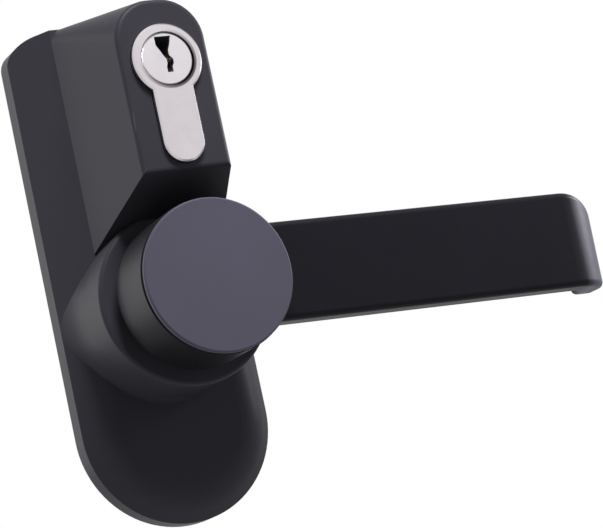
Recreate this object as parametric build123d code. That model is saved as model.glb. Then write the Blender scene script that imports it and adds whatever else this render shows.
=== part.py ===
from build123d import *
import math
import os

# Outside handle for a panic bar. Every piece is drawn lying on the door: x to the right, y up from the
# lever's axis and z out from the door face. The pieces are stood up when they are written.

# Housing
plate_width = 47.4
plate_bottom = 50
top_corner = 5
rim_height = 5
pad_height = 10
pad_blend = 9
shoulder_height = 17
boss_radius = 21.2
boss_height = 27
wall = 2.5
insert_radius = 3.2
insert_core = 2.1
insert_length = 4.5

# Profile half cylinder
cylinder_up = 52
front_length = 35
rear_length = 10
cylinder_proud = 1.6
head_radius = 8.5
web_width = 10
web_drop = 24.5
plug_radius = 6.5
pin_radius = 1.3
pin_pitch = 4
key_pin_lengths = [3.6, 4.2, 3.2, 4.6, 3.8]
driver_pin_length = 6

# Lever
lever_reach = 107
arm_height = 23.5
arm_thickness = 7
arm_set_back = 7.5
arm_rise = 0.8
arm_droop = 1.4
tip_bend = 11
tip_depth = 13
tip_top = 12
tip_bottom = 3
tip_overrun = 0.5
arm_edge = 1.5
root_blend = 2.5
hub_height = 21.5
neck_height = 3.2
neck_inset = 2
shank_square = 12
cap_thickness = 1.5
cap_ring = 14.5
cap_ring_wall = 1.5
hub_screw_radius = 3
hub_screw_head = 5

# Clutch and spindle
spindle_size = 8
spindle_reach = 38
pin_travel = 2.2
slide_travel = 2.8
key_angle = 45
lever_angle = 45
wire = 1.6

# Clearances
running = 0.05
seat = 0.1
gap = 0.2
head_clearance = 0.35

BASE = (Align.CENTER, Align.CENTER, Align.MIN)


def rod(radius, start, end, x=0, up=0):
    """Round bar that points out from the door."""
    return Pos(x, up, start) * Cylinder(radius, end - start, align=BASE)


def tube(outer, inner, start, end, x=0, up=0):
    return rod(outer, start, end, x, up) - rod(inner, start, end, x, up)


def pillar(radius, low, high, x, out):
    """Round bar that stands upright."""
    return Pos(x, low, out) * Rot(-90, 0, 0) * Cylinder(radius, high - low, align=BASE)


def crossbar(radius, left, right, up, out):
    """Round bar that lies across."""
    return Pos(left, up, out) * Rot(0, 90, 0) * Cylinder(radius, right - left, align=BASE)


def block(left, right, low, high, start, end):
    middle = Pos((left + right) / 2, (low + high) / 2, (start + end) / 2)
    return middle * Box(right - left, high - low, end - start)


def slab(outline, start, end):
    return Pos(0, 0, start) * extrude(outline, amount=end - start)


def polar(radius, angle):
    turn = math.radians(angle)
    return (radius * math.cos(turn), radius * math.sin(turn))


def sector(inner, outer, first, last, start, end):
    """Part of a ring around the lever's axis, between two angles."""
    far = 2 * outer
    wedge = Polygon((0, 0), polar(far, first), polar(far, (first + last) / 2), polar(far, last), align=None)
    return slab((Circle(outer) - Circle(inner)) & wedge, start, end)


# Places that several pieces share
plate_half = plate_width / 2
plate_top = cylinder_up + head_radius + 9
round_up = plate_half - plate_bottom
pocket_radius = boss_radius - wall
ceiling = boss_height - wall - 0.5
plate_back = 1
plate_front = 3
hub_radius = boss_radius - 3
hub_back = boss_height + 3 * gap
neck_radius = hub_radius - neck_inset
hub_front = boss_height + hub_height
rear_end = gap
cylinder_face = rear_end + rear_length + front_length
tower_height = cylinder_face - cylinder_proud
screw_out = rear_end + rear_length
screw_up = cylinder_up - 20
fixings = [
    (x, up)
    for x in (plate_half - 8.7, 8.7 - plate_half)
    for up in (plate_top - 7, 20 - plate_bottom)
]
plate_screws = [
    (plate_half - 5.9, cylinder_up - 7.5),
    (5.9 - plate_half, cylinder_up - 7.5),
    (0, 8 - plate_bottom),
]


def plate_outline(inset):
    half = plate_half - inset
    high = plate_top - inset
    outline = Pos(0, (round_up + high) / 2) * Rectangle(2 * half, high - round_up)
    outline += Pos(0, round_up) * Circle(half)
    return fillet(outline.vertices().group_by(Axis.Y)[-1], top_corner - inset)


def pad(inset, start, end):
    """Raised middle of the plate, with sides at 45 degrees. Its upper end stays under the shoulders."""
    upper = boss_radius - 1
    half = plate_half - inset
    outline = SlotCenterToCenter(upper - round_up, 2 * half, rotation=90)
    return extrude(Pos(0, (upper + round_up) / 2, start) * outline, amount=end - start, taper=45)


def euro_profile(margin):
    """Outline of the cylinder: round head, straight web with a round foot."""
    half = web_width / 2
    foot = web_drop - half
    outline = Circle(head_radius + margin)
    outline += Pos(0, -foot / 2) * Rectangle(web_width + 2 * margin, foot)
    outline += Pos(0, -foot) * Circle(half + margin)
    return Pos(0, cylinder_up) * outline


def tower_section(half, low, high, corner, out):
    section = Pos(0, (low + high) / 2, out) * Rectangle(2 * half, high - low)
    return fillet(section.vertices().group_by(Axis.Y)[-1], corner)


# Housing: one casting, a plate with a raised pad, shoulders up to the cylinder tower, and the boss
base_half = plate_half - 7.6
face_half = head_radius + 2.4
hub_gap = hub_radius + 0.8
underside = (cylinder_up - web_drop - 1.3 - hub_gap) / (tower_height - boss_height)
lean = 2.65 / (tower_height - shoulder_height)


def tower_low(out):
    return hub_gap + underside * (out - boss_height)


def tower_high(out):
    return plate_top - lean * (out - shoulder_height)


rim = slab(plate_outline(0), 0, rim_height)
raised = pad(0, rim_height, pad_height)
raised = fillet(raised.edges().group_by(Axis.Z)[-1], pad_blend)
shoulder_line = Polygon(
    (plate_half, rim_height),
    (base_half, shoulder_height),
    (-base_half, shoulder_height),
    (-plate_half, rim_height),
    align=None,
)
shoulders = extrude(Plane.XZ * shoulder_line, amount=-plate_top)
shoulders &= slab(plate_outline(0), 0, shoulder_height)
tower = loft(
    [
        tower_section(base_half, tower_low(shoulder_height), plate_top, 3, shoulder_height),
        tower_section(
            face_half, tower_low(tower_height), tower_high(tower_height), face_half - 0.8, tower_height
        ),
    ],
    ruled=True,
)
tower = fillet(tower.edges().group_by(Axis.Z)[-1], 1.2)

flare = plate_half - boss_radius
flare_height = 10
flare_radius = (flare_height ** 2 + flare ** 2) / (2 * flare)
flare_middle = flare_radius - math.sqrt(flare_radius ** 2 - (flare_height / 2) ** 2)
boss_line = Polyline(
    (boss_radius, rim_height + flare_height),
    (boss_radius, boss_height),
    (0, boss_height),
    (0, rim_height),
    (boss_radius + flare, rim_height),
)
boss_foot = ThreePointArc(
    (boss_radius + flare, rim_height),
    (boss_radius + flare_middle, rim_height + flare_height / 2),
    (boss_radius, rim_height + flare_height),
)
boss = revolve(Plane.XZ * make_face([boss_line, boss_foot]), Axis.Z)
boss = fillet(boss.edges().sort_by(Axis.Z)[-1], 1)
shell = rim + raised + shoulders + tower + boss

pocket_step = rim_height - 1
shoulder_pocket = Polygon(
    (plate_half - wall, 0),
    (plate_half - wall, pocket_step),
    (base_half - 1.2, shoulder_height - 2.2),
    (1.2 - base_half, shoulder_height - 2.2),
    (wall - plate_half, pocket_step),
    (wall - plate_half, 0),
    align=None,
)
pocket = slab(plate_outline(wall), 0, pocket_step)
pocket += pad(wall, pocket_step, pad_height - wall - 0.2)
pocket += rod(pocket_radius, 0, ceiling)
long_pocket = Pos(0, 2, 0) * extrude(Plane.XZ * shoulder_pocket, amount=-plate_top)
pocket += long_pocket & slab(plate_outline(wall), 0, shoulder_height)
pocket_start = shoulder_height - 3
pocket_end = tower_height - 3.2
pocket += loft(
    [
        tower_section(
            base_half - 1.2, tower_low(pocket_start) + 1.1 * wall, plate_top - wall, 1, pocket_start
        ),
        tower_section(
            head_radius + gap,
            tower_low(pocket_end) + 1.1 * wall,
            tower_high(pocket_end) - wall,
            head_radius - 1.5,
            pocket_end,
        ),
    ],
    ruled=True,
)
housing = shell - pocket - slab(euro_profile(seat), pocket_end - 2, tower_height + 1)

posts = Part() + [rod(insert_radius + 1.2, plate_front, shoulder_height, x, up) for x, up in fixings]
posts += [rod(2.9, plate_front, shoulder_height, x, up) for x, up in plate_screws]
housing += posts & shell

lug_half = 12
lug_rest = 270
stop_radius = pocket_radius - 2.8
spring_low = plate_front + 11
spring_turns = 2.75
spring_high = spring_low + spring_turns * (wire + 0.075)
leg_angle = math.degrees(math.asin((wire / 2 + seat) / stop_radius))
leg_top_angle = lug_rest - lug_half - leg_angle
leg_low_angle = leg_top_angle - 90
lug_low = spring_high - 0.6
stop_low = spring_high + wire / 2 + 0.6
right_stop = lug_rest + lug_half + 1
left_stop = lug_rest - lever_angle - lug_half - 1
rib_edge = leg_low_angle - leg_angle
housing += sector(stop_radius, pocket_radius + 1, right_stop, right_stop + 10, stop_low, ceiling + 1)
housing += sector(stop_radius, pocket_radius + 1, left_stop - 10, left_stop, stop_low, ceiling + 1)
housing += sector(stop_radius, pocket_radius + 1, rib_edge - 10, rib_edge, spring_low - 2, ceiling + 1)

insert_end = plate_front + insert_length
screw_end = plate_front + 4
bush_radius = 13
housing -= rod(bush_radius + seat / 5, ceiling - 1, boss_height + 1)
for x, up in fixings:
    housing -= rod(insert_radius, plate_front, insert_end, x, up)
for x, up in plate_screws:
    housing -= rod(1.5, plate_front, screw_end + 0.5, x, up)

# Threaded inserts for the four bolts through the door
fixing_inserts = Part()
for x, up in fixings:
    fixing_inserts += tube(insert_radius, insert_core, plate_front, insert_end, x, up)

# Cylinder body: nickel-plated brass, open in the middle for the cam
cam_back = screw_out - 4.6
cam_front = screw_out + 4.6
cam_floor = cylinder_up - 15.4
bore = plug_radius + running
chamber_radius = pin_radius + 0.15
pin_outs = [cylinder_face - 5.5 - pin_pitch * number for number in range(len(key_pin_lengths))]
screw_radius = 2.45
cylinder_body = slab(euro_profile(0), rear_end, cylinder_face)
cylinder_body -= block(-plate_half, plate_half, cam_floor, plate_top, cam_back, cam_front)
cylinder_body -= rod(bore, cam_back, cylinder_face, 0, cylinder_up)
for out in pin_outs:
    cylinder_body -= pillar(chamber_radius, cylinder_up - web_drop - 1, cylinder_up, 0, out)
cylinder_body -= crossbar(screw_radius + running, -web_width, web_width, screw_up, screw_out)
cylinder_body = chamfer(cylinder_body.faces().sort_by(Axis.Z)[-1].outer_wire().edges(), 0.4)

# Plug: turns in the body, with the keyway in its face and flats on its tail for the cam
plug_face = cylinder_face - gap
clip_back = cam_front - 0.9
clip_front = cam_front - gap
plug_back = clip_back - seat
tail_radius = plug_radius - 1.5
tail_flat = tail_radius - 1
tail_end = cam_back + 2 * gap
keyway_line = [
    (-0.2, 5.4, 2.0),
    (-0.5, 3.4, 1.7),
    (-0.4, 2.0, 1.0),
    (-0.1, 0.8, 0.7),
    (0.6, -0.1, 0.8),
    (0.6, -1.1, 0.8),
    (0.2, -1.9, 0.7),
    (0.2, -3.2, 0.7),
]
keyway = [(x - half, up) for x, up, half in keyway_line]
keyway += [(x + half, up) for x, up, half in reversed(keyway_line)]
groove_radius = plug_radius - 0.7
shear_line = cylinder_up - plug_radius + gap


def plug_tail(margin, start, end):
    flats = 2 * (tail_flat + margin)
    outline = Circle(tail_radius + margin) & Rectangle(4 * tail_radius, flats)
    return slab(Pos(0, cylinder_up) * outline, start, end)


cylinder_plug = rod(plug_radius, plug_back, plug_face, 0, cylinder_up)
cylinder_plug = chamfer(cylinder_plug.edges().group_by(Axis.Z)[-1], 0.5)
cylinder_plug -= tube(plug_radius + 1, groove_radius, clip_back, clip_front, 0, cylinder_up)
cylinder_plug += plug_tail(0, tail_end, plug_back)
cylinder_plug -= slab(Pos(0, cylinder_up) * Polygon(*keyway, align=None), cam_front + 1.5, cylinder_face)
for out in pin_outs:
    cylinder_plug -= pillar(chamber_radius, cylinder_up - plug_radius - 1, cylinder_up - 1.5, 0, out)

# Open ring that holds the plug in the body
plug_clip = tube(plug_radius + 1.3, groove_radius + running, clip_back, clip_front, 0, cylinder_up)
plug_clip -= block(-2, 2, cylinder_up, cylinder_up + 2 * plug_radius, clip_back, clip_front)

# Cam: ring on the plug's tail with one bit, which points left when the key comes out
cam_throw = head_radius + 6.1
bit_half = 3
cam_low = cam_back + gap
cam_high = plug_back - seat
cam_outline = Circle(head_radius - 0.3) + Pos(-cam_throw / 2, 0) * Rectangle(cam_throw, 2 * bit_half)
cam_outline &= Circle(cam_throw)
cam = slab(Pos(0, cylinder_up) * cam_outline, cam_low, cam_high)
cam -= plug_tail(running, cam_low, cam_high)
cam_middle = (cam_low + cam_high) / 2

# Pin stacks, set at the shear line, each with a spring and a plug that closes its chamber
driver_top = cylinder_up - plug_radius - 3 * running
driver_low = driver_top - driver_pin_length
chamber_end = cylinder_up - web_drop + 0.4
chamber_stop = chamber_end + 1.9
key_pins = Part()
driver_pins = Part()
pin_springs = Part()
chamber_plugs = Part()
for out, length in zip(pin_outs, key_pin_lengths):
    key_pins += pillar(pin_radius, shear_line, shear_line + length, 0, out)
    driver_pins += pillar(pin_radius, driver_low, driver_top, 0, out)
    pin_springs += pillar(pin_radius, chamber_stop, driver_low, 0, out)
    pin_springs -= pillar(pin_radius - 0.5, chamber_stop, driver_low, 0, out)
    chamber_plugs += pillar(chamber_radius, chamber_end, chamber_stop, 0, out)

# Back plate: pressed steel with a folded lug for the cylinder screw
guide_right = web_width / 2 + 1.2
lug_inner = web_width / 2 + 4.5
lug_outer = lug_inner + 2
driver_journal = spindle_size + 1
plate_gap = 0.15
back_plate = slab(plate_outline(wall + plate_gap), plate_back, plate_front)
back_plate -= slab(euro_profile(gap), plate_back, plate_front)
back_plate -= rod(driver_journal + running, plate_back, plate_front)
for x, up in fixings:
    back_plate -= rod(insert_core + 0.65, plate_back, plate_front, x, up)
screw_head = 2.9
screw_shank = 1.45
sink = Pos(0, 0, plate_back) * Cone(screw_head, screw_shank, screw_head - screw_shank, align=BASE)
for x, up in plate_screws:
    back_plate -= Pos(x, up) * sink
    back_plate -= rod(screw_shank + running, plate_back, plate_front, x, up)
back_plate += block(lug_inner, lug_outer, screw_up - 5, screw_up + 5, plate_back, screw_out + 3.8)
back_plate -= crossbar(screw_radius + 0.3, lug_inner, lug_outer, screw_up, screw_out)

# Countersunk screws that hold the back plate
recess_reach = 0.6 * screw_head
recess_half = 0.4
recess_end = plate_back + 1
plate_screw = sink + rod(screw_shank, plate_back, screw_end)
plate_screw -= block(-recess_reach, recess_reach, -recess_half, recess_half, plate_back, recess_end)
plate_screw -= block(-recess_half, recess_half, -recess_reach, recess_reach, plate_back, recess_end)
back_plate_screws = Part() + [Pos(x, up) * plate_screw for x, up in plate_screws]

# Screw that holds the cylinder by its web
cylinder_screw = crossbar(screw_radius, 1 - web_width / 2, lug_outer, screw_up, screw_out)
cylinder_screw += crossbar(4, lug_outer, lug_outer + 2.8, screw_up, screw_out)

# Slide: the cam pushes it down, and its curved foot pushes the clutch pin
barrel_radius = spindle_size + 2.8
pin_top = barrel_radius + 2.6
foot_inner = pin_top + slide_travel - pin_travel + head_clearance
foot_outer = foot_inner + 3.5
slide_back = cam_middle - 1.5
slide_front = cam_middle + 1.5
bit_corner = 180 + math.degrees(math.asin(bit_half / cam_throw))


def saddle_point(share):
    """Place on the slide that lies under the bit's corner at a share of the key's turn."""
    x, up = polar(cam_throw, bit_corner + share * key_angle)
    return (x, cylinder_up + up + share * slide_travel - 1.25 * gap)


saddle = ThreePointArc(saddle_point(0), saddle_point(0.5), saddle_point(1))
slide_left = saddle_point(0)[0]
slide_sides = Polyline(
    saddle_point(1),
    (-guide_right, saddle_point(1)[1]),
    (-guide_right, foot_inner - 4),
    (slide_left, foot_inner - 4),
    saddle_point(0),
)
clutch_slide = slab(make_face([saddle, slide_sides]), slide_back, slide_front)
clutch_slide -= rod(foot_inner, slide_back, slide_front)
clutch_slide += sector(foot_inner, foot_outer, 30, 150, slide_back, slide_front)
guide_x = (slide_left - guide_right) / 2
guide_low = foot_outer + 2.9
guide_high = cylinder_up - 18
stem_radius = 2.15
window_half = stem_radius + running
window_low = guide_low - stem_radius - 0.15
window_high = guide_low + 0.61 * (guide_high - guide_low)
slot_low = guide_high - stem_radius - 0.15
slot_high = guide_high + stem_radius + slide_travel + 0.3
clutch_slide -= block(
    guide_x - window_half, guide_x + window_half, window_low, window_high, slide_back, slide_front
)
clutch_slide -= block(
    guide_x - window_half, guide_x + window_half, slot_low, slot_high, slide_back, slide_front
)

# Shouldered rivets in the back plate that guide the slide
rivet_tail = 1.5
slide_guides = Part()
for up in (guide_low, guide_high):
    slide_guides += rod(rivet_tail, plate_back, plate_front, guide_x, up)
    slide_guides += rod(3, plate_front, slide_back - seat, guide_x, up)
    slide_guides += rod(stem_radius, plate_front, slide_front + seat, guide_x, up)
    slide_guides += rod(3, slide_front + seat, slide_front + 1.1, guide_x, up)
    back_plate -= rod(rivet_tail, plate_back, plate_front, guide_x, up)

# Spring in the slide's lower window, which lifts the slide again
slide_spring = pillar(1.4, guide_low + stem_radius, window_high, guide_x, cam_middle)
slide_spring -= pillar(0.8, guide_low + stem_radius, window_high, guide_x, cam_middle)

# Lever shank: barrel around the driver, flange with the stop lug, journal and square
flange_radius = pocket_radius - 3.2
barrel_low = plate_front + 3.6
nose_radius = spindle_size
nose_end = barrel_low + 10.4
flange_low = spring_high + wire / 2 + 0.6
flange_high = ceiling - 0.8
journal_radius = bush_radius - 2.05
square_end = hub_front - 8.6
hole_radius = 1.55
spring_seat = nose_radius + 1.2
lever_shank = rod(barrel_radius, barrel_low, flange_low)
lever_shank += rod(flange_radius, flange_low, flange_high)
lever_shank += sector(
    flange_radius - 1, pocket_radius - 0.4, lug_rest - lug_half, lug_rest + lug_half, lug_low, flange_high
)
lever_shank += rod(journal_radius, flange_high, hub_back)
lever_shank += slab(Rectangle(shank_square, shank_square), hub_back, square_end)
lever_shank -= rod(nose_radius + running, barrel_low, nose_end + 0.3)
lever_shank -= rod(hub_screw_radius, nose_end, square_end)
lever_shank -= pillar(hole_radius, 0, 2 * barrel_radius, 0, cam_middle)
lever_shank -= pillar(2.5, spring_seat, 2 * barrel_radius, 0, cam_middle)

# Flanged bush and thrust washer that the shank turns in
hub_bush = tube(bush_radius, journal_radius + running, ceiling, boss_height)
hub_bush += tube(neck_radius, journal_radius + running, boss_height, boss_height + 2 * gap)
thrust_washer = tube(flange_radius - gap, journal_radius + 0.15, flange_high + seat, ceiling - running)

# Torsion spring around the barrel: one leg on the lug, one on the housing's rib
coil_radius = barrel_radius + 1.8
spring_length = spring_high - spring_low
helix = Helix(spring_length / spring_turns, spring_length, coil_radius, (0, 0, spring_low), lefthand=True)
coil = sweep(Plane(helix @ 0, z_dir=helix % 0) * RegularPolygon(wire / 2, 8), path=helix)
leg = Rot(0, 90, 0) * Cylinder(wire / 2, pocket_radius - 0.9 - coil_radius, align=BASE)
return_spring = Rot(0, 0, leg_low_angle) * coil
return_spring += Rot(0, 0, leg_low_angle) * Pos(coil_radius, 0, spring_low) * leg
return_spring += Rot(0, 0, leg_top_angle) * Pos(coil_radius, 0, spring_high) * leg

# Driver: follower for the square spindle, with a notch for the clutch pin
spindle_end = nose_end - 1
pin_out = nose_end - 3
notch_low = spindle_size / 2 + 1.3
driver = rod(driver_journal, plate_back - gap, plate_front + gap)
driver += rod(barrel_radius + gap, plate_front + gap, barrel_low - 2 * gap)
driver += rod(nose_radius, barrel_low - 2 * gap, nose_end)
driver -= slab(
    Rectangle(spindle_size + running, spindle_size + running), plate_back - gap, spindle_end + gap
)
driver -= pillar(hole_radius + running, notch_low, 2 * nose_radius, 0, cam_middle)
driver -= crossbar(1.25, -nose_radius, nose_radius, 0, pin_out)

# Square spindle through the door, with the cross pin that keeps it in the driver
spindle = slab(Rectangle(spindle_size, spindle_size), -spindle_reach, spindle_end)
spindle = chamfer(spindle.faces().sort_by(Axis.Z)[0].edges(), 0.8)
spindle -= crossbar(1.25, -nose_radius, nose_radius, 0, pin_out)
spindle_pin = crossbar(1.25, 0.3 - nose_radius, nose_radius - 0.3, 0, pin_out)

# Clutch pin and its spring, in the shank's side
clutch_pin = pillar(hole_radius - running, nose_radius + 2 * running, pin_top, 0, cam_middle)
clutch_pin += pillar(2.4, pin_top - 1, pin_top, 0, cam_middle)
clutch_spring = pillar(2.3, spring_seat, pin_top - 1, 0, cam_middle)
clutch_spring -= pillar(hole_radius, spring_seat, pin_top - 1, 0, cam_middle)

# Lever handle: round hub on a narrower neck and a flat arm, one casting, with the tip turned back
hub_end = hub_front - cap_thickness
arm_front = hub_front - arm_set_back
arm_back = arm_front - arm_thickness
arm_high = arm_height / 2 + arm_rise
tip_out = arm_front - tip_depth
bend_start = lever_reach - tip_bend
bend_end = arm_front - tip_bend
tip_inner = lever_reach - arm_thickness
slant = math.sqrt(0.5)
outer_bend = ThreePointArc(
    (bend_start, arm_front),
    (bend_start + slant * tip_bend, bend_end + slant * tip_bend),
    (lever_reach, bend_end),
)
inner_radius = tip_bend - arm_thickness
inner_bend = ThreePointArc(
    (tip_inner, bend_end),
    (bend_start + slant * inner_radius, bend_end + slant * inner_radius),
    (bend_start, arm_back),
)
tip_sides = Polyline(
    (lever_reach, bend_end), (lever_reach, tip_out), (tip_inner, tip_out), (tip_inner, bend_end)
)
arm_sides = Polyline((bend_start, arm_back), (0, arm_back), (0, arm_front), (bend_start, arm_front))
arm_plan = make_face([outer_bend, tip_sides, inner_bend, arm_sides])
arm = Pos(0, arm_high, 0) * extrude(Plane.XZ * arm_plan, amount=arm_height)
face_reach = lever_reach + tip_overrun
arm_face = Pos(face_reach / 2, arm_high - arm_height / 2) * Rectangle(face_reach, arm_height)
arm_face = fillet(arm_face.vertices().group_by(Axis.X)[-1].sort_by(Axis.Y)[1], tip_top)
arm_face = fillet(arm_face.vertices().group_by(Axis.X)[-1].sort_by(Axis.Y)[0], tip_bottom)
arm &= slab(arm_face, 0, hub_front)
arm = fillet(arm.edges().filter_by(lambda edge: edge.center().X > 1), arm_edge)
hub = rod(hub_radius, hub_back + neck_height, hub_end)
hub = chamfer(hub.edges().group_by(Axis.Z)[-1], 0.4)
hub += rod(neck_radius, hub_back, hub_back + neck_height)
lever_handle = hub + Rot(0, 0, -arm_droop) * arm
root = [
    edge
    for edge in lever_handle.edges()
    if edge.center().X > 0 and arm_back - 1 < edge.center().Z < arm_front + 1
    and all(abs(math.hypot(point.X, point.Y) - hub_radius) < 0.01 for point in edge.positions([0, 0.5, 1]))
]
lever_handle = fillet(root, root_blend)
socket = slab(Rectangle(shank_square + running, shank_square + running), hub_back, square_end + gap)
lever_handle -= socket
lever_handle -= rod(hub_screw_radius + gap, hub_back, hub_end)
head_seat = square_end + 3.6
lever_handle -= rod(hub_screw_head + 3 * gap, head_seat, hub_end)
ring_inner = cap_ring - cap_ring_wall
lever_handle -= tube(cap_ring + seat, ring_inner - seat, hub_end - cap_thickness - gap, hub_end)

# Cap over the hub, held by a ring in the hub's groove
hub_cap = rod(hub_radius - gap, hub_end, hub_front)
hub_cap = chamfer(hub_cap.edges(), 0.4)
hub_cap += tube(cap_ring, ring_inner, hub_end - cap_thickness, hub_end + cap_thickness / 2)

# Screw under the cap that holds the lever on the shank
hub_screw = rod(hub_screw_radius - running, flange_low + 4, head_seat)
hub_screw += rod(hub_screw_head, head_seat, hub_end - 0.5)
hub_screw -= slab(RegularPolygon(hub_screw_head / 2, 6, major_radius=False), hub_end - 2.5, hub_end)

pieces = {
    "housing": housing,
    "fixing_inserts": fixing_inserts,
    "back_plate": back_plate,
    "back_plate_screws": back_plate_screws,
    "cylinder_body": cylinder_body,
    "cylinder_plug": cylinder_plug,
    "plug_clip": plug_clip,
    "cam": cam,
    "key_pins": key_pins,
    "driver_pins": driver_pins,
    "pin_springs": pin_springs,
    "chamber_plugs": chamber_plugs,
    "cylinder_screw": cylinder_screw,
    "clutch_slide": clutch_slide,
    "slide_guides": slide_guides,
    "slide_spring": slide_spring,
    "lever_shank": lever_shank,
    "hub_bush": hub_bush,
    "thrust_washer": thrust_washer,
    "return_spring": return_spring,
    "driver": driver,
    "spindle": spindle,
    "spindle_pin": spindle_pin,
    "clutch_pin": clutch_pin,
    "clutch_spring": clutch_spring,
    "lever_handle": lever_handle,
    "hub_cap": hub_cap,
    "hub_screw": hub_screw,
}

os.makedirs("parts", exist_ok=True)
for name, piece in pieces.items():
    export_step(Plane.XZ * piece, f"parts/{name}.step")
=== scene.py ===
import math

import bmesh
import bpy
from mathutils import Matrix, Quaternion, Vector


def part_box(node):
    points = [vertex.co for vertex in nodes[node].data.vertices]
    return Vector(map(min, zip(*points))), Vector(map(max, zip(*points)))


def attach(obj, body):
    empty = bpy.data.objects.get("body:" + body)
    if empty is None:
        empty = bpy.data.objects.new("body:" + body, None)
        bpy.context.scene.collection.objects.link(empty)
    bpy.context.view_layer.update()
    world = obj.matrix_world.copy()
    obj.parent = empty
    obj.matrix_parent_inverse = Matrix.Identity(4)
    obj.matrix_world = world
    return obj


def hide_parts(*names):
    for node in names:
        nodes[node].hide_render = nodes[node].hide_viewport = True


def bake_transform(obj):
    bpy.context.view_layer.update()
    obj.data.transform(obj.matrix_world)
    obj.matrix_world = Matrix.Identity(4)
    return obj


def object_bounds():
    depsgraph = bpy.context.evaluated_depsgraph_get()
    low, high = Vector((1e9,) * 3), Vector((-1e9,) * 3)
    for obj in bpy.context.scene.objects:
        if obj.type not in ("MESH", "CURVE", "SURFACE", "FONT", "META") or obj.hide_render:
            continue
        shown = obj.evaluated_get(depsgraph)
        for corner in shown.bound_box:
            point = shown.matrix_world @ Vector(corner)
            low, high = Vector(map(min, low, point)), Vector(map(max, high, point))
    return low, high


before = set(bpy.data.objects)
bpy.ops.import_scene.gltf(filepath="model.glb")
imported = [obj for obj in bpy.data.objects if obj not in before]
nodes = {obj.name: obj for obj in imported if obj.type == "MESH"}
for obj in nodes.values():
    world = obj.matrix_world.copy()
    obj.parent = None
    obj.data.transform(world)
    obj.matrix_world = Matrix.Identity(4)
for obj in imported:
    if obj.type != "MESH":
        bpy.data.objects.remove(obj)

cad_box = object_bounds()


# Housing
# A zinc die casting, with plate, tower and boss in one, under a satin black powder coat with a
# fine even grain. Bolts through the door hold it by the inserts in its back.


class Value:
    """A shader socket that can be used in sums. Each sum adds its Math node to the same tree."""

    def __init__(self, maker, socket):
        self.maker = maker
        self.socket = socket

    def math(self, operation, first, second):
        inputs = {0: first, 1: second}
        return self.maker.node("ShaderNodeMath", {"operation": operation}, inputs)["Value"]

    def __add__(self, other):
        return self.math("ADD", self, other)

    def __radd__(self, other):
        return self.math("ADD", other, self)

    def __sub__(self, other):
        return self.math("SUBTRACT", self, other)

    def __rsub__(self, other):
        return self.math("SUBTRACT", other, self)

    def __mul__(self, other):
        return self.math("MULTIPLY", self, other)

    def __rmul__(self, other):
        return self.math("MULTIPLY", other, self)

    def __truediv__(self, other):
        return self.math("DIVIDE", self, other)

    def __rtruediv__(self, other):
        return self.math("DIVIDE", other, self)

    def __pow__(self, other):
        return self.math("POWER", self, other)

    def __rpow__(self, other):
        return self.math("POWER", other, self)

    def __or__(self, other):
        return self.math("MAXIMUM", self, other)

    def __ror__(self, other):
        return self.math("MAXIMUM", other, self)


class NodeMaker:
    """Makes the nodes of one shader tree."""

    def __init__(self, tree):
        self.tree = tree

    def node(self, kind, settings=None, inputs=None):
        """Adds a node with its settings, then the values or links of its sockets."""
        made = self.tree.nodes.new(kind)
        for key, value in (settings or {}).items():
            setattr(made, key, value)
        for key, value in (inputs or {}).items():
            if isinstance(value, Value):
                self.tree.links.new(value.socket, made.inputs[key])
            else:
                made.inputs[key].default_value = value
        return {output.name: Value(self, output) for output in made.outputs if output.enabled}

    def show(self, output, shader):
        self.tree.links.new(shader.socket, self.tree.nodes[output].inputs["Surface"])


class Paint(NodeMaker):
    """A new material with one Principled shader, and the patterns that feed it."""

    def __init__(self, name, **constants):
        self.material = bpy.data.materials.new(name)
        self.material.use_nodes = True
        super().__init__(self.material.node_tree)
        self.shader = self.tree.nodes["Principled BSDF"]
        for socket, value in constants.items():
            self.shader.inputs[socket.replace("_", " ")].default_value = value

    def place(self):
        return self.node("ShaderNodeTexCoord")["Object"]

    def noise(self, scale, detail, where=None):
        settings = {"noise_dimensions": "3D"}
        inputs = {"Vector": where or self.place(), "Scale": scale, "Detail": detail}
        return self.node("ShaderNodeTexNoise", settings, inputs)["Fac"]

    def blend(self, share, first, second):
        settings = {"data_type": "RGBA"}
        return self.node("ShaderNodeMix", settings, {0: share, 6: first, 7: second})["Result"]

    def rise(self, value, zero_at, one_at):
        """0 where the value is at or past zero_at, 1 at or past one_at, and even between them."""
        inputs = {"Value": value, "From Min": zero_at, "From Max": one_at, "To Min": 0.0, "To Max": 1.0}
        return self.node("ShaderNodeMapRange", None, inputs)["Result"]

    def feed(self, **links):
        for socket, value in links.items():
            self.tree.links.new(value.socket, self.shader.inputs[socket.replace("_", " ")])

    def colour(self):
        """What feeds the base colour so far."""
        return Value(self, self.shader.inputs["Base Color"].links[0].from_socket)

    def bump(self, height, strength, distance):
        inputs = {"Height": height, "Strength": strength, "Distance": distance}
        self.feed(Normal=self.node("ShaderNodeBump", None, inputs)["Normal"])


def dress(name, paint):
    """Gives a carried-over piece its finish."""
    mesh = nodes[name].data
    mesh.materials.clear()
    mesh.materials.append(paint.material)


def black_coat(name, dark, pale, rough):
    paint = Paint(name, Specular_IOR_Level=0.065, Specular_Tint=(0.86, 0.84, 1, 1))
    grain = paint.noise(scale=2600, detail=3)
    cloud = paint.noise(scale=38, detail=4)
    paint.feed(Base_Color=paint.blend(cloud * 0.7 + grain * 0.3, dark, pale))
    paint.feed(Roughness=rough + 0.10 * cloud + 0.08 * grain)
    paint.bump(grain, strength=0.18, distance=0.00008)
    return paint


housing_dark = (0.021, 0.0203, 0.0252, 1)
housing_pale = (0.029, 0.0280, 0.0348, 1)
dress("housing", black_coat("housing_coat", housing_dark, housing_pale, rough=0.32))


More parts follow.
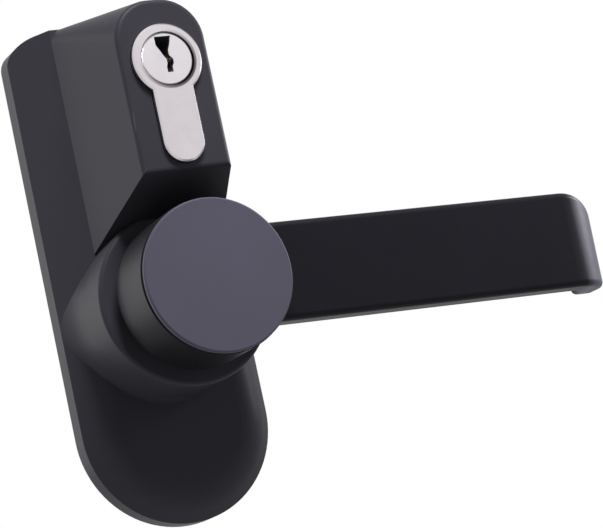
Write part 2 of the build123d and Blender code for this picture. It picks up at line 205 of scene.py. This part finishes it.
# Profile half cylinder
# Turned and milled brass with a satin nickel plate, held by one screw through its web. The front
# keeps fine rings from the lathe. The plug is a shade cleaner than the body. The groove round it
# carries a painted shadow, darkest at the lower right.

cylinder_low, cylinder_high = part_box("cylinder_body")
head_radius = (cylinder_high.x - cylinder_low.x) / 2
cylinder_height = cylinder_high.z - head_radius
plug_low, plug_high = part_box("cylinder_plug")
plug_radius = (plug_high.x - plug_low.x) / 2
ring_pitch = 0.00022
groove_width = 0.0007
groove_dark_width = groove_width * 0.6
# Colour of the painted shadow in the groove round the plug.
groove_shadow_colour = (0.045, 0.040, 0.044, 1)


def nickel_paint(name, dark, pale, rough):
    paint = Paint(name, Metallic=1.0)
    cloud = paint.noise(scale=120, detail=4)
    fine = paint.noise(scale=5200, detail=2)
    to_axis = {"Vector": paint.place(), "Location": (0, 0, -cylinder_height)}
    centred = paint.node("ShaderNodeMapping", None, to_axis)["Vector"]
    parts = paint.node("ShaderNodeSeparateXYZ", None, {"Vector": centred})
    radius = (parts["X"] * parts["X"] + parts["Z"] * parts["Z"]) ** 0.5
    turns = radius * (2 * math.pi / ring_pitch)
    rings = paint.node("ShaderNodeMath", {"operation": "SINE"}, {0: turns})["Value"]
    from_edge = paint.node("ShaderNodeMath", {"operation": "ABSOLUTE"}, {0: radius - plug_radius})["Value"]
    # Painted shadow: the groove round the plug darkens, most at the lower right and not at all at the
    # upper left, as shade in the recess would.
    groove = paint.rise(from_edge, groove_width, groove_dark_width)
    shadow_side_lower_right = (parts["X"] - parts["Z"]) / (2.8 * plug_radius) + 0.4
    clean = paint.blend(cloud, dark, pale)
    paint.feed(Base_Color=paint.blend(groove * shadow_side_lower_right, clean, groove_shadow_colour))
    paint.feed(Roughness=rough + 0.08 * cloud + 0.05 * fine)
    paint.bump(rings * 0.25 + fine * 0.5, strength=0.12, distance=0.00003)
    return paint


body_dark = (0.54, 0.50, 0.53, 1)
body_pale = (0.64, 0.60, 0.63, 1)
dress("cylinder_body", nickel_paint("nickel_body", body_dark, body_pale, rough=0.20))
plug_dark = (0.62, 0.59, 0.62, 1)
plug_pale = (0.72, 0.69, 0.72, 1)
dress("cylinder_plug", nickel_paint("nickel_plug", plug_dark, plug_pale, rough=0.18))


# Inserts, bush and pins
# Bare turned brass. The inserts are pressed into the housing's posts and the bush into its boss.
# The pins run in the cylinder's chambers, which small plugs close.

brass = Paint("turned_brass", Metallic=1.0)
brass_cloud = brass.noise(scale=160, detail=3)
brass.feed(Base_Color=brass.blend(brass_cloud, (0.66, 0.48, 0.20, 1), (0.78, 0.61, 0.30, 1)))
brass.feed(Roughness=0.26 + 0.14 * brass_cloud)
brass.bump(brass.noise(scale=3800, detail=2), strength=0.10, distance=0.00003)
for name in ("fixing_inserts", "hub_bush", "key_pins", "driver_pins", "chamber_plugs"):
    dress(name, brass)


# Mechanism and back plate
# Zinc-plated steel: the shank, driver, slide and cam, and the sheet that closes the back with its
# screws. The plating has a faint spangle and a bluish passivated tone.

zinc = Paint("zinc_plated_steel", Metallic=1.0)
zinc_cloud = zinc.noise(scale=90, detail=5)
zinc_cells = zinc.node("ShaderNodeTexVoronoi", None, {"Vector": zinc.place(), "Scale": 420.0})["Distance"]
zinc.feed(Base_Color=zinc.blend(zinc_cloud, (0.50, 0.52, 0.55, 1), (0.64, 0.65, 0.66, 1)))
zinc.feed(Roughness=0.30 + 0.16 * zinc_cloud + 0.08 * zinc_cells)
zinc.bump(zinc.noise(scale=2400, detail=3), strength=0.15, distance=0.00004)
zinc_names = (
    "back_plate", "back_plate_screws", "cylinder_screw", "cam", "clutch_slide", "slide_guides",
    "lever_shank", "thrust_washer", "driver", "clutch_pin", "hub_screw",
)
for name in zinc_names:
    dress(name, zinc)


# Spindle, its pin, the plug's clip and the torsion spring
# Drawn bar and spring steel, darker than the plated pieces, with draw lines along the bar. The
# pin holds the spindle in the driver, and the clip sits in the plug's groove.

drawn = Paint("drawn_steel", Metallic=1.0)
along_bar = {"Vector": drawn.place(), "Scale": (1, 0.02, 1)}
stretched = drawn.node("ShaderNodeMapping", None, along_bar)["Vector"]
draw_lines = drawn.noise(scale=2600, detail=3, where=stretched)
drawn_cloud = drawn.noise(scale=70, detail=4)
drawn.feed(Base_Color=drawn.blend(drawn_cloud, (0.22, 0.22, 0.23, 1), (0.33, 0.33, 0.34, 1)))
drawn.feed(Roughness=0.28 + 0.14 * draw_lines + 0.08 * drawn_cloud)
drawn.bump(draw_lines, strength=0.2, distance=0.00004)
for name in ("spindle", "spindle_pin", "plug_clip", "return_spring"):
    dress(name, drawn)


# Coil springs
# Round spring wire wound cold: the five pin springs, the slide spring and the clutch spring. Each
# coil takes the place of its plain sleeve.


def coil_tree(paint):
    """Winds wire upwards from a place. Inputs: height, coil radius, wire radius, turns and place."""
    tree = bpy.data.node_groups.new("wound_wire", "GeometryNodeTree")
    for name, kind in (
        ("Height", "NodeSocketFloat"),
        ("Radius", "NodeSocketFloat"),
        ("Wire", "NodeSocketFloat"),
        ("Turns", "NodeSocketFloat"),
        ("Place", "NodeSocketVector"),
    ):
        tree.interface.new_socket(name, in_out="INPUT", socket_type=kind)
    tree.interface.new_socket("Geometry", in_out="OUTPUT", socket_type="NodeSocketGeometry")
    start = tree.nodes.new("NodeGroupInput")
    spiral = tree.nodes.new("GeometryNodeCurveSpiral")
    spiral.inputs["Resolution"].default_value = 24
    section = tree.nodes.new("GeometryNodeCurvePrimitiveCircle")
    section.inputs["Resolution"].default_value = 10
    tube = tree.nodes.new("GeometryNodeCurveToMesh")
    tube.inputs["Fill Caps"].default_value = True
    move = tree.nodes.new("GeometryNodeTransform")
    real = tree.nodes.new("GeometryNodeRealizeInstances")
    finish = tree.nodes.new("GeometryNodeSetMaterial")
    finish.inputs["Material"].default_value = paint.material
    end = tree.nodes.new("NodeGroupOutput")
    for source, name, target, socket in (
        (start, "Height", spiral, "Height"),
        (start, "Radius", spiral, "Start Radius"),
        (start, "Radius", spiral, "End Radius"),
        (start, "Turns", spiral, "Rotations"),
        (start, "Wire", section, "Radius"),
        (spiral, "Curve", tube, "Curve"),
        (section, "Curve", tube, "Profile Curve"),
        (tube, "Mesh", move, "Geometry"),
        (start, "Place", move, "Translation"),
        (move, "Geometry", real, "Geometry"),
        (real, "Geometry", finish, "Geometry"),
        (finish, "Geometry", end, "Geometry"),
    ):
        tree.links.new(source.outputs[name], target.inputs[socket])
    return tree


def wound(tree, low, high, wire, turns):
    """Mesh of one coil that fills the box between two corners, with its wire's ends flush."""
    holder = bpy.data.objects.new("coil_holder", bpy.data.meshes.new("coil_holder"))
    bpy.context.scene.collection.objects.link(holder)
    modifier = holder.modifiers.new("wire", "NODES")
    modifier.node_group = tree
    values = {
        "Height": high.z - low.z - 2 * wire,
        "Radius": (high.x - low.x) / 2 - wire,
        "Wire": wire,
        "Turns": turns,
        "Place": ((low.x + high.x) / 2, (low.y + high.y) / 2, low.z + wire),
    }
    for item in tree.interface.items_tree:
        if item.name in values:
            modifier[item.identifier] = values[item.name]
    bpy.context.view_layer.update()
    evaluated = holder.evaluated_get(bpy.context.evaluated_depsgraph_get())
    mesh = bpy.data.meshes.new_from_object(evaluated)
    holder.modifiers.remove(modifier)
    bpy.data.objects.remove(holder)
    return mesh


def join(name, meshes):
    """One object from several meshes that share a finish."""
    work = bmesh.new()
    for mesh in meshes:
        work.from_mesh(mesh)
    bmesh.ops.recalc_face_normals(work, faces=work.faces)
    for face in work.faces:
        face.smooth = True
    whole = bpy.data.meshes.new(name)
    work.to_mesh(whole)
    work.free()
    whole.materials.append(meshes[0].materials[0])
    made = bpy.data.objects.new(name, whole)
    bpy.context.scene.collection.objects.link(made)
    return made


def row_boxes(name, least_gap):
    """Lowest and highest corners of each solid in a row that runs into the door, first to last."""
    low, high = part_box(name)
    places = sorted({round(vertex.co.y, 6) for vertex in nodes[name].data.vertices})
    groups = [[places[0]]]
    for place in places[1:]:
        if place - groups[-1][-1] > least_gap:
            groups.append([])
        groups[-1].append(place)
    return [(Vector((low.x, group[0], low.z)), Vector((high.x, group[-1], high.z))) for group in groups]


wire_tree = coil_tree(drawn)
pin_wire = 0.00018
pin_turns = 9
pin_coils = [
    wound(wire_tree, low, high, pin_wire, pin_turns)
    for low, high in row_boxes("pin_springs", least_gap=0.0005)
]
pin_spring_coils = join("pin_spring_coils", pin_coils)
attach(pin_spring_coils, "base")
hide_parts("pin_springs")

pressed_springs = (
    ("slide_spring", "base", "slide", 0.0002, 6),
    ("clutch_spring", "lever", "clutch", 0.00015, 2),
)
for name, seat, presser, wire, turns in pressed_springs:
    low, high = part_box(name)
    coil = join(name + "_coil", [wound(wire_tree, low, high, wire, turns)])
    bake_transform(coil)
    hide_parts(name)


# Lever
# A zinc die casting with hub, arm and turned-back tip in one, screwed to the shank. Its coat is
# the blackest of the three. Its end is painted paler, as a painted highlight on the turned-back tip.

lever_dark = (0.0052, 0.0049, 0.0067, 1)
lever_pale = (0.0076, 0.0072, 0.0097, 1)
lever_coat = black_coat("lever_coat", lever_dark, lever_pale, rough=0.30)
lever_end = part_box("lever_handle")[1].x
# Painted highlight: the last few millimetres of the lever, at its turned-back tip, go paler grey.
tip_highlight_from = lever_end - 0.0092
tip_highlight_through = lever_end - 0.0064
tip_highlight_grey = (0.056, 0.054, 0.070, 1)
along_lever = lever_coat.node("ShaderNodeSeparateXYZ", None, {"Vector": lever_coat.place()})["X"]
tip_highlight_mask = lever_coat.rise(along_lever, tip_highlight_from, tip_highlight_through)
lever_coat.feed(Base_Color=lever_coat.blend(tip_highlight_mask, lever_coat.colour(), tip_highlight_grey))
dress("lever_handle", lever_coat)


# Hub cap
# A flat round moulding, pressed over the hub to hide the lever's screw. Its coat is greyer than
# the castings' coat.

cap_dark = (0.050, 0.0478, 0.0653, 1)
cap_pale = (0.062, 0.0592, 0.0810, 1)
dress("hub_cap", black_coat("cap_coat", cap_dark, cap_pale, rough=0.36))


# Floor and background
# A plain pale floor well below the part, and a background that the camera sees as white. Metal
# mirrors that white too, and the floor still darkens where the part keeps light from it.


def shown_rays(maker):
    """1 for rays that show the surroundings: from the camera, off a shiny surface or through glass."""
    rays = maker.node("ShaderNodeLightPath")
    return rays["Is Camera Ray"] | rays["Is Glossy Ray"] | rays["Is Transmission Ray"]


floor_height = cad_box[0][2] - 0.30
floor_half = 3.0
floor_glow = 0.75
floor_corners = [
    (-floor_half, -floor_half, floor_height),
    (floor_half, -floor_half, floor_height),
    (floor_half, floor_half, floor_height),
    (-floor_half, floor_half, floor_height),
]
floor_mesh = bpy.data.meshes.new("floor")
floor_mesh.from_pydata(floor_corners, [], [(0, 1, 2, 3)])
floor = bpy.data.objects.new("floor", floor_mesh)
bpy.context.scene.collection.objects.link(floor)
floor_paint = Paint("pale_floor", Base_Color=(0.85, 0.85, 0.85, 1), Roughness=0.9)
glowing = {
    0: shown_rays(floor_paint) * floor_glow,
    1: Value(floor_paint, floor_paint.shader.outputs["BSDF"]),
    2: floor_paint.node("ShaderNodeEmission")["Emission"],
}
floor_paint.show("Material Output", floor_paint.node("ShaderNodeMixShader", None, glowing)["Shader"])
floor_mesh.materials.append(floor_paint.material)

world = bpy.data.worlds.new("studio")
bpy.context.scene.world = world
world.use_nodes = True
sky = NodeMaker(world.node_tree)
fill = world.node_tree.nodes["Background"]
fill.inputs["Color"].default_value = (1, 1, 1, 1)
fill.inputs["Strength"].default_value = 0.24
backdrop = {"Color": (1, 1, 1, 1), "Strength": 1.0}
surroundings = {
    0: shown_rays(sky),
    1: Value(sky, fill.outputs["Background"]),
    2: sky.node("ShaderNodeBackground", None, backdrop)["Background"],
}
sky.show("World Output", sky.node("ShaderNodeMixShader", None, surroundings)["Shader"])


# Studio lamps
# A soft box above in front, a broad one to the left and behind, and a small one near the lever's
# tip on the right.


def soft_box(name, place, target, width, height, power):
    data = bpy.data.lights.new(name, "AREA")
    data.shape = "RECTANGLE"
    data.size = width
    data.size_y = height
    data.energy = power
    lamp = bpy.data.objects.new(name, data)
    bpy.context.scene.collection.objects.link(lamp)
    lamp.location = place
    lamp.rotation_euler = (Vector(target) - Vector(place)).to_track_quat("-Z", "Y").to_euler()
    lamp.visible_camera = False


middle = (0.01, -0.02, 0.01)
lever_tip = (0.11, -0.03, 0)
soft_box("key_box", (0.02, -0.38, 0.52), middle, width=0.22, height=0.22, power=7.8)
soft_box("left_box", (-0.7, 0.55, 0.2), middle, width=1.1, height=0.8, power=6)
soft_box("right_box", (0.33, -0.07, 0.09), lever_tip, width=0.12, height=0.12, power=1.0)


# Camera
# A long lens from the lower left, rolled so that the plate leans to the left in the frame.

aim = Vector((0.0437, 0, 0.0089))
azimuth = math.radians(-25.6)
elevation = math.radians(-9.65)
roll = math.radians(-12.3)
distance = 0.692
focal_pixels = 2800
frame_width_pixels = 603
sensor_width = 36
view = Vector((
    math.sin(azimuth) * math.cos(elevation),
    -math.cos(azimuth) * math.cos(elevation),
    math.sin(elevation),
))
camera_data = bpy.data.cameras.new("camera")
camera_data.sensor_width = sensor_width
camera_data.lens = focal_pixels * sensor_width / frame_width_pixels
camera = bpy.data.objects.new("camera", camera_data)
bpy.context.scene.collection.objects.link(camera)
camera.rotation_mode = "QUATERNION"
camera.location = aim + view * distance
camera.rotation_quaternion = (-view).to_track_quat("-Z", "Y") @ Quaternion((0, 0, 1), roll)
bpy.context.scene.camera = camera
bpy.context.scene.view_settings.view_transform = "Standard"
